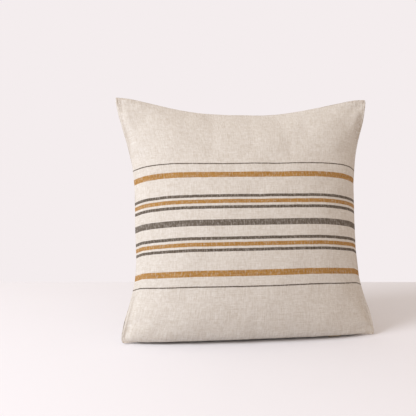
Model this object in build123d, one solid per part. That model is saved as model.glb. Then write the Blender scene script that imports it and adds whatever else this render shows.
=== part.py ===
from build123d import *
import os
from math import cos, pi, radians, sin, tan

# Square throw pillow: a zipped knife-edge cover over a fibre insert. It stands on its bottom edge, leans
# back a little and faces -Y. Millimetres, +Z up. Everything is first built about the bottom seam, which
# runs along X at y = 0, and is then moved so that the origin is below the middle of the whole pillow.

# ---- Cover outline, from the stuffed size of a 457 mm square cut
TIP_WIDTH = 452.0          # between the two side corners
TIP_HEIGHT = 420.0         # from the floor to the top corners
SIDE_PULL = 28.0           # how far each side draws in between its corners
TOP_SAG = 28.0             # how far the top edge dips between its corners
LEAN = 12.0                # degrees, top away from the front
SEAM_HEIGHT = 4.0          # the bottom seam above the floor, between its corners
CORNER_LIFT = 1.2          # the same at the corners
DRAW_POWER = 3.2           # how sharply an edge turns out into a corner
CROWN_POWER = 2.2          # how flat the crown is across the middle
CROWN_ROUND = 0.62         # how full the crown is beside the seams
EDGE_BLEND = 12.0          # how close to the sides the cloth leaves the middle's cross-section
EAR_POWER = 4.0            # how near the top the sides start to rise into the upper corners
FOOT_POWER = 8.0           # how sharply the bottom edge comes down into its corners
FOOT_HEIGHT = 40.0         # the height by which the lower corners are lost in the sides
SEAM_EDGE = 1.2            # half of the thickness of the stitched edge

# ---- Cross-section halfway across: (depth from the seam plane, height), from the bottom seam to the top
MID_HEIGHT = TIP_HEIGHT - TOP_SAG
HALF_DEPTH = 76.0
BASE_DEPTH = 72.0          # how far behind the seam the pillow rests on the floor
BELOW_FLOOR = -1.0         # the base is drawn this low, then cut flat at the floor
FRONT_PROFILE = [
    (0, SEAM_HEIGHT), (13, SEAM_HEIGHT), (24, 9), (42, 30), (60, 71), (73, 128),
    (HALF_DEPTH, 190), (70, 258), (54, 321), (30, 368), (0, MID_HEIGHT),
]
BACK_PROFILE = [
    (0, SEAM_HEIGHT), (14, BELOW_FLOOR), (40, BELOW_FLOOR), (BASE_DEPTH, BELOW_FLOOR), (84, 14), (87, 50),
    (85, 108), (80, 176), (70, 254), (52, 321), (29, 368), (0, MID_HEIGHT),
]
ACROSS = 28                # surface points across and up each panel
UP = 40

# ---- Layers, each as insets from the cover's outside: (outline, depth, half edge thickness, floor)
COVER_OUTSIDE = (0.0, 0.0, SEAM_EDGE, 0.0)
COVER_INSIDE = (1.2, 1.2, 0.3, 1.0)
INSERT_OUTSIDE = (13.0, 2.8, 1.2, 2.2)
INSERT_INSIDE = (14.2, 3.8, 0.4, 3.0)
FILL_OUTSIDE = (14.8, 4.2, 0.2, 3.3)

# ---- Seam allowances, turned to the inside of the side and top seams
ALLOWANCE = 10.0
ALLOWANCE_CLOTH = 0.95
SEAM_LINE = (3.2, 3.8)     # the lockstitch, as insets from the edge
OVERLOCK_LINE = (8.8, 10.6)
INSERT_EDGE_LINE = (11.6, 12.8)
THREAD = 0.4
OVERLOCK = 0.4
STITCHED_SPAN = 0.82       # share of each edge that its seam threads cover

# ---- Coil zip, set face down between the two turned lips of the bottom seam
ZIP_HALF = 168.0           # half of the slot that the zip fills
LIP_GAP = 5.0              # from the seam plane to each lip
LIP_TOP = 5.5
GROOVE_TOP = 4.6
GROOVE_BACK = 18.0         # where the back lip comes down to the floor
LIP_BACK = 13.0            # how far behind the seam each lip keeps its full height
LIP_MARGIN = 3.0           # cloth beyond the groove's end and behind it
CUT_BELOW = -1.0           # cuts that open through the base start this low
TAPE = (0.6, 9.0, 5.7, 6.2)       # nearest, furthest, lowest, highest
COIL = (0.5, 2.4, 3.9, 5.6)
TAPE_HALF_LENGTH = 162.0
COIL_HALF_LENGTH = 152.5
STOP_LENGTH = 3.0
STOP_GAP = 0.8
STITCH_ROW = (7.2, 7.8)
TACK_X = 158.0
TACK_REACH = 5.0

# ---- Slider and pull
SLIDER_REST = 144.0        # the zip is closed with its slider here
SLIDER_LENGTH = 13.0
SLIDER_WIDTH = 7.6
OUTER_PLATE = (2.6, 3.5)
INNER_PLATE = (6.6, 7.5)
GUIDE = (2.8, 3.8, 5.3)    # the outer plate's side guides: inside, outside, top
POST = (3.2, 5.2, 0.25)    # the wedge that parts the coils: start, end, half width
ARCH_LENGTH = 7.0
ARCH_HALF_WIDTH = 1.0
ARCH_FOOT = 1.2
ARCH_BAR = (0.45, 1.05)
PIVOT_HEIGHT = 1.82
PULL_THICKNESS = 0.8
PULL_WIDTH = 5.6
PULL_LENGTH = 20.0
PULL_EYE = (1.4, 4.4)      # half width and reach of the opening that the arch passes through
PULL_TIP_HOLE = 1.1

# ---- Labels and the insert's closing stitches
LABEL = (44.0, 30.0, 0.3)
LABEL_X = 70.0
LABEL_Y = 38.0
LABEL_Z = 1.35
CHANNEL = (22.5, 14.0, 8.4)       # the hollow that the zip presses into the insert: half widths, height
CHANNEL_MARGIN = 6.0
CLOSING_LENGTH = 120.0
CLOSING_PITCH = 4.0
FAR = 400.0                # past the pillow on every side


def lean(height):
    """How far the seam plane stands behind the bottom seam at a height."""
    return height * tan(radians(LEAN))


def half_width(height):
    level = 2 * height / MID_HEIGHT - 1
    return TIP_WIDTH / 2 - SIDE_PULL * (1 - abs(level) ** DRAW_POWER)


def seam_point(across, height, inset):
    """A point of the outline, or between its sides: x and height, before the lean."""
    within = inset + height * (MID_HEIGHT - 2 * inset) / MID_HEIGHT
    x = across * (half_width(height) - inset)
    ear = TOP_SAG * abs(across) ** DRAW_POWER * (height / MID_HEIGHT) ** EAR_POWER
    foot = (SEAM_HEIGHT - CORNER_LIFT) * abs(across) ** FOOT_POWER * max(0, 1 - height / FOOT_HEIGHT)
    return x, within + ear - foot


def panel_points(profile, direction, layer):
    """Points over one panel of one layer. direction is -1 for the front and 1 for the back."""
    outline, depth_inset, edge, _ = layer
    curve = Spline(*profile)
    rows = []
    for i in range(ACROSS + 1):
        across = sin(pi / 2 * (2 * i / ACROSS - 1))
        crown = max(0, 1 - abs(across) ** CROWN_POWER) ** CROWN_ROUND
        inner = 1 - abs(across) ** EDGE_BLEND
        row = []
        for j in range(UP + 1):
            along = (1 - cos(pi * j / UP)) / 2
            at = curve @ along
            depth = max(0, at.X) * (1 - depth_inset / HALF_DEPTH)
            at_edge = SEAM_HEIGHT + (MID_HEIGHT - SEAM_HEIGHT) * along
            x, z = seam_point(across, at_edge + inner * (at.Y - at_edge), outline)
            row.append(Vector(x, lean(z) + direction * (edge + crown * depth), z))
        rows.append(row)
    return rows


def pillow(layer):
    """A closed pillow of one layer: two crowned faces, four narrow edge faces, cut flat at the floor."""
    faces = []
    sides = []
    for profile, direction in ((FRONT_PROFILE, -1), (BACK_PROFILE, 1)):
        rows = panel_points(profile, direction, layer)
        face = Face.make_surface_from_array_of_points(rows, tol=0.01, max_deg=5)
        faces.append(face)
        sides.append(face.edges().sort_by(lambda edge: (edge @ 0.5).X + 3 * (edge @ 0.5).Z))
    for front_edge, back_edge in zip(*sides):
        faces.append(Face.make_surface_from_curves(front_edge, back_edge))
    above_floor = Box(2 * FAR, 2 * FAR, 2 * FAR, align=(Align.CENTER, Align.CENTER, Align.MIN))
    return Solid(Shell(faces)) & Pos(0, 0, layer[3]) * above_floor


def along_zip(points, half_length):
    """A bar along X whose section is drawn as (y, z) points."""
    section = Face(Wire.make_polygon([(-half_length, y, z) for y, z in points]))
    return Solid.extrude(section, Vector(2 * half_length, 0, 0))


def bar(x_range, y_range, z_range):
    size = [high - low for low, high in (x_range, y_range, z_range)]
    middle = [(high + low) / 2 for low, high in (x_range, y_range, z_range)]
    return Pos(*middle) * Box(*size)


def mirrored(shape):
    return mirror(shape, about=Plane.XZ)


def edge_curve(side, inset, share):
    """The outline along one side at an inset, on the seam plane, cut short by share at both ends."""
    points = []
    steps = 14
    for k in range(steps + 1):
        t = (2 * k / steps - 1) * share
        if side == "top":
            x, z = seam_point(t, MID_HEIGHT, inset)
        else:
            x, z = seam_point(side, MID_HEIGHT * (1 + t) / 2, inset)
        points.append((x, lean(z), z))
    return Spline(*points)


def seam_plane_prism(face, near, far):
    """A face on the seam plane, made into a slab from near to far along Y."""
    return Pos(0, near, 0) * Solid.extrude(face, Vector(0, far - near, 0))


def edge_bands(line, near, far):
    """Thread along the two sides and the top, between two insets from the edge."""
    bands = []
    for side in (-1, 1, "top"):
        outer, inner = (edge_curve(side, inset, STITCHED_SPAN) for inset in line)
        ends = [Line(outer @ t, inner @ t) for t in (0, 1)]
        bands.append(seam_plane_prism(Face(Wire([outer, ends[0], inner, ends[1]])), near, far))
    return bands


def allowance_opening():
    """The room inside the turned-in allowances, as thick as their cloth."""
    left, right, top = (edge_curve(side, ALLOWANCE, 1) for side in (-1, 1, "top"))
    opening = Face(Wire([left, top, right, Line(left @ 0, right @ 0)]))
    return seam_plane_prism(opening, -ALLOWANCE_CLOTH, ALLOWANCE_CLOTH)


def between(shape, near, far):
    """The part of a shape between two planes that stand along the seam plane."""
    low, high = -FAR / 10, 2 * MID_HEIGHT
    front = [(lean(height) + near, height) for height in (low, high)]
    back = [(lean(height) + far, height) for height in (high, low)]
    return shape & along_zip(front + back, FAR)


def cover():
    """Front and back panel, each with its turned-in allowances and its turned lip beside the zip."""
    slot = [
        (-LIP_GAP, CUT_BELOW), (GROOVE_BACK, CUT_BELOW), (GROOVE_BACK, 0), (LIP_GAP, GROOVE_TOP),
        (LIP_GAP, 2 * LIP_TOP), (-LIP_GAP, 2 * LIP_TOP),
    ]
    back_of_lip = GROOVE_BACK + LIP_MARGIN
    lips = [
        (-GROOVE_BACK, CUT_BELOW), (back_of_lip, CUT_BELOW), (back_of_lip, COVER_INSIDE[3]),
        (LIP_BACK, LIP_TOP), (-GROOVE_BACK, LIP_TOP),
    ]
    outside = pillow(COVER_OUTSIDE) - along_zip(slot, ZIP_HALF)
    hollow = pillow(COVER_INSIDE) - along_zip(lips, ZIP_HALF + LIP_MARGIN)
    opening = allowance_opening()
    front = between(outside, -FAR, 0) - between(hollow, -FAR, -ALLOWANCE_CLOTH) - opening
    back = between(outside, 0, FAR) - between(hollow, ALLOWANCE_CLOTH, FAR) - opening
    return front, back


def zip_channel(grow):
    low, top, height = (size + grow for size in CHANNEL)
    half = [(low, CUT_BELOW), (low, INSERT_OUTSIDE[3]), (top, height)]
    other_half = [(-y, z) for y, z in reversed(half)]
    return along_zip(half + other_half, ZIP_HALF + CHANNEL_MARGIN + grow)


def insert():
    outside = pillow(INSERT_OUTSIDE) - zip_channel(0)
    inside = pillow(INSERT_INSIDE) - zip_channel(1)
    return [between(outside, *half) - between(inside, *half) for half in ((-FAR, 0), (0, FAR))]


def fill():
    return pillow(FILL_OUTSIDE) - zip_channel(1.3)


def zip_side(section, half_length):
    near, far, low, high = section
    return bar((-half_length, half_length), (-far, -near), (low, high))


def stops(at, sides):
    near, far, low, high = COIL
    start = at + STOP_GAP if at > 0 else at - STOP_GAP - STOP_LENGTH
    span = (start, start + STOP_LENGTH)
    if sides == 2:
        one = bar(span, (-far, -near), (low, high))
        return [one, mirrored(one)]
    return [bar(span, (-far, far), (low, high))]


def slider():
    """One casting: outer plate with side guides, inner plate, the parting post and the arch for the pull."""
    half = SLIDER_LENGTH / 2
    span = (-half, half)
    outer = bar(span, (-SLIDER_WIDTH / 2, SLIDER_WIDTH / 2), OUTER_PLATE)
    inner = bar(span, (-SLIDER_WIDTH / 2 + 0.4, SLIDER_WIDTH / 2 - 0.4), INNER_PLATE)
    outer = fillet(outer.edges().filter_by(Axis.Z), 2.0)
    inner = fillet(inner.edges().filter_by(Axis.Z), 2.0)
    body = outer + inner
    guide = bar((-half + 2, half - 2), (-GUIDE[1], -GUIDE[0]), (OUTER_PLATE[1], GUIDE[2]))
    body += guide + mirrored(guide)
    start, end, half_post = POST
    body += bar((start, end), (-half_post, half_post), (OUTER_PLATE[1], INNER_PLATE[0]))
    reach = ARCH_LENGTH / 2
    arch = bar((-reach, reach), (-ARCH_HALF_WIDTH, ARCH_HALF_WIDTH), (ARCH_BAR[0], OUTER_PLATE[0]))
    arch = fillet(arch.edges().filter_by(Axis.Y).sort_by(Axis.Z)[:2], 0.5)
    inside = reach - ARCH_FOOT
    eye = bar((-inside, inside), (-FAR, FAR), (ARCH_BAR[1], OUTER_PLATE[0]))
    return Pos(SLIDER_REST, 0, 0) * (body + (arch - eye))


def pull():
    """The tab, with a round bar through the slider's arch, lying flat and pointing past the closed end."""
    radius = PULL_THICKNESS / 2
    half = PULL_WIDTH / 2
    plate = bar((0, PULL_LENGTH), (-half, half), (-radius, radius))
    plate = fillet(plate.edges().filter_by(Axis.Z).sort_by(Axis.X)[-2:], half - 0.1)
    eye_half, eye_reach = PULL_EYE
    plate -= bar((-1, eye_reach), (-eye_half, eye_half), (-1, 1))
    plate -= Pos(PULL_LENGTH - half, 0, 0) * Cylinder(PULL_TIP_HOLE, 2)
    pin = Rot(90, 0, 0) * Cylinder(radius, PULL_WIDTH)
    return Pos(SLIDER_REST, 0, PIVOT_HEIGHT) * (plate + pin)


def closing_stitches():
    top = CHANNEL[2] - 0.1
    count = int(CLOSING_LENGTH / CLOSING_PITCH)
    first = -CLOSING_LENGTH / 2
    return [
        bar((first + k * CLOSING_PITCH, first + k * CLOSING_PITCH + THREAD), (-1.2, 2.4), (top - 0.3, top))
        for k in range(count)
    ]


def label(x):
    length, width, thick = LABEL
    return Pos(x, LABEL_Y, LABEL_Z + thick / 2) * Box(length, width, thick)


def all_nodes():
    front_panel, back_panel = cover()
    insert_front, insert_back = insert()
    tape = zip_side(TAPE, TAPE_HALF_LENGTH)
    coil = zip_side(COIL, COIL_HALF_LENGTH)
    row = zip_side((*STITCH_ROW, TAPE[3], TAPE[3] + 0.3), TAPE_HALF_LENGTH - 2)
    tack = bar((TACK_X, TACK_X + 1.2), (-TACK_REACH, TACK_REACH), (TAPE[3], TAPE[3] + 0.4))
    cloth = ALLOWANCE_CLOTH
    around = edge_bands(OVERLOCK_LINE, -cloth - OVERLOCK, cloth + OVERLOCK)
    inside = edge_bands((0, ALLOWANCE), -cloth, cloth)
    overlock = [band - allowance for band, allowance in zip(around, inside)]
    return {
        "front_panel": front_panel,
        "back_panel": back_panel,
        "seam_needle_thread": edge_bands(SEAM_LINE, -cloth - THREAD, -cloth),
        "seam_bobbin_thread": edge_bands(SEAM_LINE, cloth, cloth + THREAD),
        "allowance_overlock_thread": overlock,
        "zipper_tape_front": tape,
        "zipper_tape_back": mirrored(tape),
        "zipper_coil_front": coil,
        "zipper_coil_back": mirrored(coil),
        "zipper_top_stops": stops(COIL_HALF_LENGTH, 2),
        "zipper_bottom_stop": stops(-COIL_HALF_LENGTH, 1),
        "zipper_slider": slider(),
        "zipper_pull": pull(),
        "zipper_stitching_front": row,
        "zipper_stitching_back": mirrored(row),
        "zipper_bar_tacks": [tack, mirror(tack, about=Plane.YZ)],
        "care_label": label(LABEL_X),
        "insert_front": insert_front,
        "insert_back": insert_back,
        "insert_edge_thread": edge_bands(INSERT_EDGE_LINE, -0.8, 0.8),
        "insert_closing_stitches": closing_stitches(),
        "insert_label": label(-LABEL_X),
        "fill": fill(),
    }


def solids_of(shape):
    shapes = shape if isinstance(shape, list) else [shape]
    return [solid for one in shapes for solid in one.solids()]


def main():
    os.makedirs("parts", exist_ok=True)
    nodes = {name: solids_of(shape) for name, shape in all_nodes().items()}
    boxes = [solid.bounding_box() for name in ("front_panel", "back_panel") for solid in nodes[name]]
    middle = (min(box.min.Y for box in boxes) + max(box.max.Y for box in boxes)) / 2
    for name, solids in nodes.items():
        placed = [Pos(0, -middle, 0) * solid for solid in solids]
        export_step(Compound(children=placed) if len(placed) > 1 else placed[0], f"parts/{name}.step")
    print("seam at y", -middle, "pivot", SLIDER_REST, -middle, PIVOT_HEIGHT)


main()
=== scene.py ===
import math

import bpy
import numpy as np
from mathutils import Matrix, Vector


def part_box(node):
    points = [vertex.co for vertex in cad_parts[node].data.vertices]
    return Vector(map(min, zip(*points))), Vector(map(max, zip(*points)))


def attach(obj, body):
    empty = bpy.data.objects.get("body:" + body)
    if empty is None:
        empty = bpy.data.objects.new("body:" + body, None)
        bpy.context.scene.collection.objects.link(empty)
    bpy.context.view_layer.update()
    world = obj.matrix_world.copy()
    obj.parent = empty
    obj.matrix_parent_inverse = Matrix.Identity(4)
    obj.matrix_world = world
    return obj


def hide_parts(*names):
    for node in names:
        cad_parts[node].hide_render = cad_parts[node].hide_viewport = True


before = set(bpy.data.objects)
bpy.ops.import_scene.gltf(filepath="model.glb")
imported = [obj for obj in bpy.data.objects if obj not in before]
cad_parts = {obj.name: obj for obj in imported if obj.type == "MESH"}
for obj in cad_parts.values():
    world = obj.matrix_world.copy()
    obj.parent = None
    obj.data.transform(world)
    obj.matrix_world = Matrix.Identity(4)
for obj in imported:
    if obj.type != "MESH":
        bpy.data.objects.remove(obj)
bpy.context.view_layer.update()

# ---- The cover's shape, in metres: what the frame gives, then the shape's own numbers
FRONT_LOW, FRONT_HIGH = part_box("front_panel")
BACK_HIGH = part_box("back_panel")[1]
PULL_LOW, PULL_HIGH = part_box("zipper_pull")
SEAM_Y = (PULL_LOW.y + PULL_HIGH.y) / 2
TIP_WIDTH = FRONT_HIGH.x - FRONT_LOW.x
TIP_HEIGHT = BACK_HIGH.z
SIDE_PULL = 0.028           # how far each side draws in between its corners
TOP_SAG = 0.028             # and how far the top edge does
SIDE_DRAW = 1.9             # the higher, the longer the middle that stays drawn in
TOP_DRAW = 1.4
LEAN = math.radians(12)
SEAM_HEIGHT = 0.004         # of the bottom seam above the floor
CORNER_LIFT = 0.0012
CROWN_POWER = 2.2
CROWN_ROUND = 0.62
EDGE_BLEND = 12
EAR_FLARE = 0.0035          # how much further the top corners reach than the sides' own curve
LEFT_EAR_LIFT = 0.003
EAR_TIP_POWER = 6
EAR_POWER = 4
FOOT_POWER = 8
FOOT_HEIGHT = 0.040
MID_HEIGHT = TIP_HEIGHT - TOP_SAG
FLANGE = 0.0115             # how far in from a side's seam the unfilled cloth lies flat near its ends
FLANGE_FLATNESS = 0.72      # the share of the fill's depth that is missing there
FLANGE_LEVELS = (0.42, 0.72)  # where that starts and is full, from a side's middle, 0, to its end, 1
HALF_DEPTH = 0.076
FRONT_PROFILE = [
    (0, SEAM_HEIGHT), (0.013, SEAM_HEIGHT), (0.024, 0.009), (0.042, 0.030), (0.060, 0.071), (0.073, 0.128),
    (HALF_DEPTH, 0.190), (0.070, 0.258), (0.054, 0.321), (0.030, 0.368), (0, MID_HEIGHT),
]
BACK_PROFILE = [
    (0, SEAM_HEIGHT), (0.014, 0), (0.040, 0), (0.072, 0), (0.084, 0.014), (0.087, 0.050),
    (0.085, 0.108), (0.080, 0.176), (0.070, 0.254), (0.052, 0.321), (0.029, 0.368), (0, MID_HEIGHT),
]
FLOOR_GAP = 0.00005

# ---- The cloth, cut square, and the zip opening in its bottom seam
CUT = 0.457
CLOTH = 0.0006
ALLOWANCE = 0.010
SEAM_OVERLAP = 0.0001       # how far each panel reaches over the seam plane, so that no gap shows
LIP_GAP = 0.0048
LIP_HEIGHT = 0.004
LIP_LIFT = 0.0004
ZIP_HALF = 0.1605
ZIP_FADE = 0.006
ROW_RISE = 0.0878           # how far the crown carries the woven rows up, as a share of the cut
ROW_RISE_DROP = 0.0417      # and how much less it carries the ones at the top
ROW_POWER = 2.6
CORNER_RADII = {(-1, True): 0.004, (1, True): 0.010, (-1, False): 0.014, (1, False): 0.010}
FRONT, BACK = -1, 1

# ---- Woven stripes: middle above the bottom edge as a share of the cut, then offsets and widths
STRIPE_MIDDLE = 0.451 * CUT
CHARCOAL_STRIPES = [(0.0276, 0.0054), (0.0481, 0.0052)]
OCHRE_STRIPES = [(0.0381, 0.0070), (0.0877, 0.0102)]
THIN_STRIPE = (0.1093, 0.0021)
WIDE_STRIPE = 0.0110

# ---- Camera
CAMERA_YAW = math.radians(7.15)
CAMERA_PITCH = math.radians(6.82)
CAMERA_DISTANCE = 1.202
CAMERA_HEIGHT = 0.378
CAMERA_ASIDE = -0.0756
CAMERA_LENS = 61.4
CAMERA_AHEAD = Vector((math.sin(CAMERA_YAW), math.cos(CAMERA_YAW), 0))
SEED = 7                    # of the random draws for the folds and the stuffing


# ======== Shape ========

def smoothstep(value, start, full):
    """0 up to start, 1 from full on, and a smooth turn between them."""
    share = np.clip((value - start) / (full - start), 0, 1)
    return share ** 2 * (3 - 2 * share)


def smooth_line(points, count):
    """Evenly spaced points along a natural cubic spline through the given ones."""
    points = np.array(points, float)
    at = np.r_[0, np.cumsum(np.hypot(*np.diff(points, axis=0).T))]
    gaps = np.diff(at)
    size = len(at)
    matrix = np.eye(size)
    right = np.zeros((size, 2))
    for i in range(1, size - 1):
        matrix[i, i - 1:i + 2] = gaps[i - 1], 2 * (gaps[i - 1] + gaps[i]), gaps[i]
        right[i] = 6 * ((points[i + 1] - points[i]) / gaps[i] - (points[i] - points[i - 1]) / gaps[i - 1])
    bend = np.linalg.solve(matrix, right)
    wanted = np.linspace(0, at[-1], count)
    k = np.clip(np.searchsorted(at, wanted) - 1, 0, size - 2)
    step = (wanted - at[k])[:, None]
    gap = gaps[k][:, None]
    slope = (points[k + 1] - points[k]) / gap - gap * (2 * bend[k] + bend[k + 1]) / 6
    curve = step ** 2 * bend[k] / 2 + step ** 3 * (bend[k + 1] - bend[k]) / (6 * gap)
    return points[k] + step * slope + curve


def unit(vectors):
    """The same directions, each one long."""
    return vectors / np.maximum(np.linalg.norm(vectors, axis=-1, keepdims=True), 1e-12)


def arc_of(line):
    """The distance along a line of points to each of them."""
    return np.r_[0, np.cumsum(np.linalg.norm(np.diff(line, axis=0), axis=1))]


def read_along(line, arc, wanted):
    """The points of a line at these distances along it."""
    return np.stack([np.interp(wanted, arc, line[:, k]) for k in range(3)], 1)


PROFILE_STEPS = 200
PROFILES = {
    FRONT: smooth_line(FRONT_PROFILE, PROFILE_STEPS),
    BACK: smooth_line(BACK_PROFILE, PROFILE_STEPS),
}


def turned_out(share, draw):
    """How an edge turns out from its drawn-in middle, 0, to its corner, 1."""
    return np.sin(math.pi / 2 * share ** draw) ** 2


def level_of(height):
    """0 half-way up the cover, and 1 at its bottom and its top edge."""
    return np.abs(2 * height / MID_HEIGHT - 1)


def seam_point(across, height, inset):
    """A point of the outline, or between its sides: x and height."""
    level = np.minimum(1, level_of(height))
    top_end = level ** EAR_TIP_POWER * (height > MID_HEIGHT / 2)
    half_width = TIP_WIDTH / 2 - SIDE_PULL * (1 - turned_out(level, SIDE_DRAW)) + EAR_FLARE * top_end
    within = inset + height * (MID_HEIGHT - 2 * inset) / MID_HEIGHT
    ear = TOP_SAG * turned_out(np.abs(across), TOP_DRAW) * (height / MID_HEIGHT) ** EAR_POWER
    ear = ear + LEFT_EAR_LIFT * np.maximum(0, -across) ** EAR_TIP_POWER * top_end
    low_part = np.maximum(0, 1 - height / FOOT_HEIGHT)
    foot = (SEAM_HEIGHT - CORNER_LIFT) * np.abs(across) ** FOOT_POWER * low_part
    return across * (half_width - inset), within + ear - foot


def flatness(across, height):
    """How flat the cloth lies beside a side seam: most at the seam, near the seam's two ends."""
    from_side = (1 - abs(across)) * TIP_WIDTH / 2
    near_ends = smoothstep(level_of(height), *FLANGE_LEVELS)
    return FLANGE_FLATNESS * math.exp(-(from_side / FLANGE) ** 4) * near_ends


def crown_of(across):
    return np.maximum(0, 1 - np.abs(across) ** CROWN_POWER) ** CROWN_ROUND


def across_of(u):
    """Where a column of the cut cloth, from -1 to 1, lies across the stuffed pillow."""
    across = np.linspace(0, 1, 500) ** 0.5
    x, _ = seam_point(across, np.full_like(across, MID_HEIGHT / 2), 0)
    arc = np.r_[0, np.cumsum(np.hypot(np.diff(x), np.diff(crown_of(across) * HALF_DEPTH)))]
    return np.sign(u) * np.interp(np.abs(u), arc / arc[-1], across)


def column(across, share, side, outline, inset, edge):
    """Points of one column of one panel, at these shares of its arc length from the bottom seam."""
    profile = PROFILES[side]
    along = np.linspace(0, 1, PROFILE_STEPS)
    at_edge = SEAM_HEIGHT + (MID_HEIGHT - SEAM_HEIGHT) * along
    inner = 1 - abs(across) ** EDGE_BLEND
    x, z = seam_point(across, at_edge + inner * (profile[:, 1] - at_edge), outline)
    depth = np.maximum(0, profile[:, 0]) * (1 - inset / HALF_DEPTH) * (1 - flatness(across, z))
    y = z * math.tan(LEAN) + side * (edge + crown_of(across) * depth)
    line = np.stack([x, y, z], 1)
    arc = arc_of(line)
    return read_along(line, arc / arc[-1], share)


def rounded_corners(u, v, radii):
    """Draws the cut square's corners in to their stuffed roundness. radii has one for each corner."""
    u, v = u.copy(), v.copy()
    for (side, top), radius in radii.items():
        reach = radius / CUT
        across = reach - (1 - side * u) / 2
        up = reach - ((1 - v) if top else v)
        inside = (across > 0) & (up > 0)
        length = np.hypot(across, up)
        scale = np.where(inside, np.maximum(across, up) / np.maximum(length, 1e-9), 1)
        u = np.where(inside, side * (1 - 2 * (reach - across * scale)), u)
        v = np.where(inside, (1 - (reach - up * scale)) if top else reach - up * scale, v)
    return u, v


def panel_grid(columns, rows, side, outline=0.0, inset=0.0, edge=-SEAM_OVERLAP, radii=CORNER_RADII):
    """Points of a panel for every pair of a column, from -1 to 1, and a row, from 0 to 1, of the cut."""
    u, v = np.meshgrid(columns, rows, indexing="ij")
    u, v = rounded_corners(u, v, radii)
    across = across_of(u)
    inside = (1 - (2 * v - 1) ** 4) * (1 - np.abs(across) ** ROW_POWER)
    share = v + (ROW_RISE - ROW_RISE_DROP * v) * inside
    points = np.empty(u.shape + (3,))
    for i in range(len(columns)):
        if np.ptp(across[i]) < 1e-9:
            points[i] = column(across[i, 0], share[i], side, outline, inset, edge)
            continue
        for j in range(len(rows)):
            points[i, j] = column(across[i, j], share[i, j:j + 1], side, outline, inset, edge)[0]
    points[..., 1] += SEAM_Y
    points[..., 2] = np.maximum(points[..., 2], FLOOR_GAP)
    return points


EDGE_CROWDING = 0.78


def edge_dense(count):
    """From -1 to 1, closer together towards both ends."""
    t = np.linspace(-1, 1, count + 1)
    return (1 - EDGE_CROWDING) * t + EDGE_CROWDING * np.sin(math.pi / 2 * t)


def outward_of(points, side):
    """Unit normals of a panel's grid of points, away from the fill."""
    normal = np.cross(np.gradient(points, axis=0), np.gradient(points, axis=1))
    return -side * unit(normal)


def bilinear(field, columns, rows):
    """A field on an even grid of the cut, read at other columns and rows."""
    size_u, size_v = field.shape[0] - 1, field.shape[1] - 1
    a = np.clip((columns + 1) / 2 * size_u, 0, size_u - 1e-6)
    b = np.clip(rows * size_v, 0, size_v - 1e-6)
    i, j = a.astype(int), b.astype(int)
    fa, fb = (a - i)[:, None, None], (b - j)[None, :, None]
    corners = [field[np.ix_(i + di, j + dj)] for di in (0, 1) for dj in (0, 1)]
    low = corners[0] * (1 - fb) + corners[1] * fb
    high = corners[2] * (1 - fb) + corners[3] * fb
    return low * (1 - fa) + high * fa


# ======== Meshes and objects ========

def new_object(name, points, faces, material, uvs=None, smooth=True):
    mesh = bpy.data.meshes.new(name)
    mesh.from_pydata([tuple(p) for p in points], [], [tuple(f) for f in faces])
    mesh.validate()
    if uvs is not None:
        layer = mesh.uv_layers.new(name="cloth")
        corners = np.empty(len(mesh.loops), int)
        mesh.loops.foreach_get("vertex_index", corners)
        layer.data.foreach_set("uv", np.asarray(uvs, np.float32)[corners].ravel())
    mesh.polygons.foreach_set("use_smooth", [smooth] * len(mesh.polygons))
    made = bpy.data.objects.new(name, mesh)
    bpy.context.scene.collection.objects.link(made)
    mesh.materials.append(material)
    return made


def add_modifier(thing, kind, **settings):
    modifier = thing.modifiers.new(kind.lower(), kind)
    for name, value in settings.items():
        setattr(modifier, name, value)
    return modifier


def apply_modifiers(thing):
    """Leaves the evaluated mesh on the object, with no modifier."""
    graph = bpy.context.evaluated_depsgraph_get()
    mesh = bpy.data.meshes.new_from_object(thing.evaluated_get(graph))
    thing.modifiers.clear()
    old = thing.data
    thing.data = mesh
    bpy.data.meshes.remove(old)


def subdivide(thing):
    add_modifier(thing, "SUBSURF", levels=1, render_levels=1)


def grid_faces(count_u, count_v, flip, start=0):
    """Quads of a grid whose points are numbered column by column."""
    faces = []
    for i in range(count_u - 1):
        for j in range(count_v - 1):
            a = start + i * count_v + j
            quad = (a, a + count_v, a + count_v + 1, a + 1)
            faces.append(quad[::-1] if flip else quad)
    return faces


def place(thing, replaced):
    """Lets a piece ride on the pillow and stand for CAD nodes."""
    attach(thing, "pillow")
    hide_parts(*replaced)
    return thing


# ======== Cloth simulation of the cover ========

SIM_CELLS = 72
SIM_FRAMES = 22
SIM_KEEP = 0.32             # the share of the simulated relief that is kept
SIM_CAP = 0.005             # the furthest that it may move a point
BROAD_SHARE = 0.85          # how much of its broad part is taken off first, so that the outline stays
BROAD_PASSES = 60
RESTING_HEIGHT = 0.0045     # points below this are held where they are, as the seam's are
CLOTH_SETTINGS = {
    "quality": 7,
    "mass": 0.3,
    "air_damping": 3,
    "tension_stiffness": 40,
    "compression_stiffness": 40,
    "shear_stiffness": 18,
    "bending_stiffness": 0.6,
    "shrink_min": -0.022,
    "use_pressure": True,
    "uniform_pressure_force": 2.6,
    "vertex_group_mass": "held",
}


def blurred(field, passes):
    """A field on a grid with everything small smoothed away; its border stays."""
    soft = field.copy()
    for _ in range(passes):
        soft[1:-1] = (soft[:-2] + 2 * soft[1:-1] + soft[2:]) / 4
        soft[:, 1:-1] = (soft[:, :-2] + 2 * soft[:, 1:-1] + soft[:, 2:]) / 4
    return soft


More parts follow.
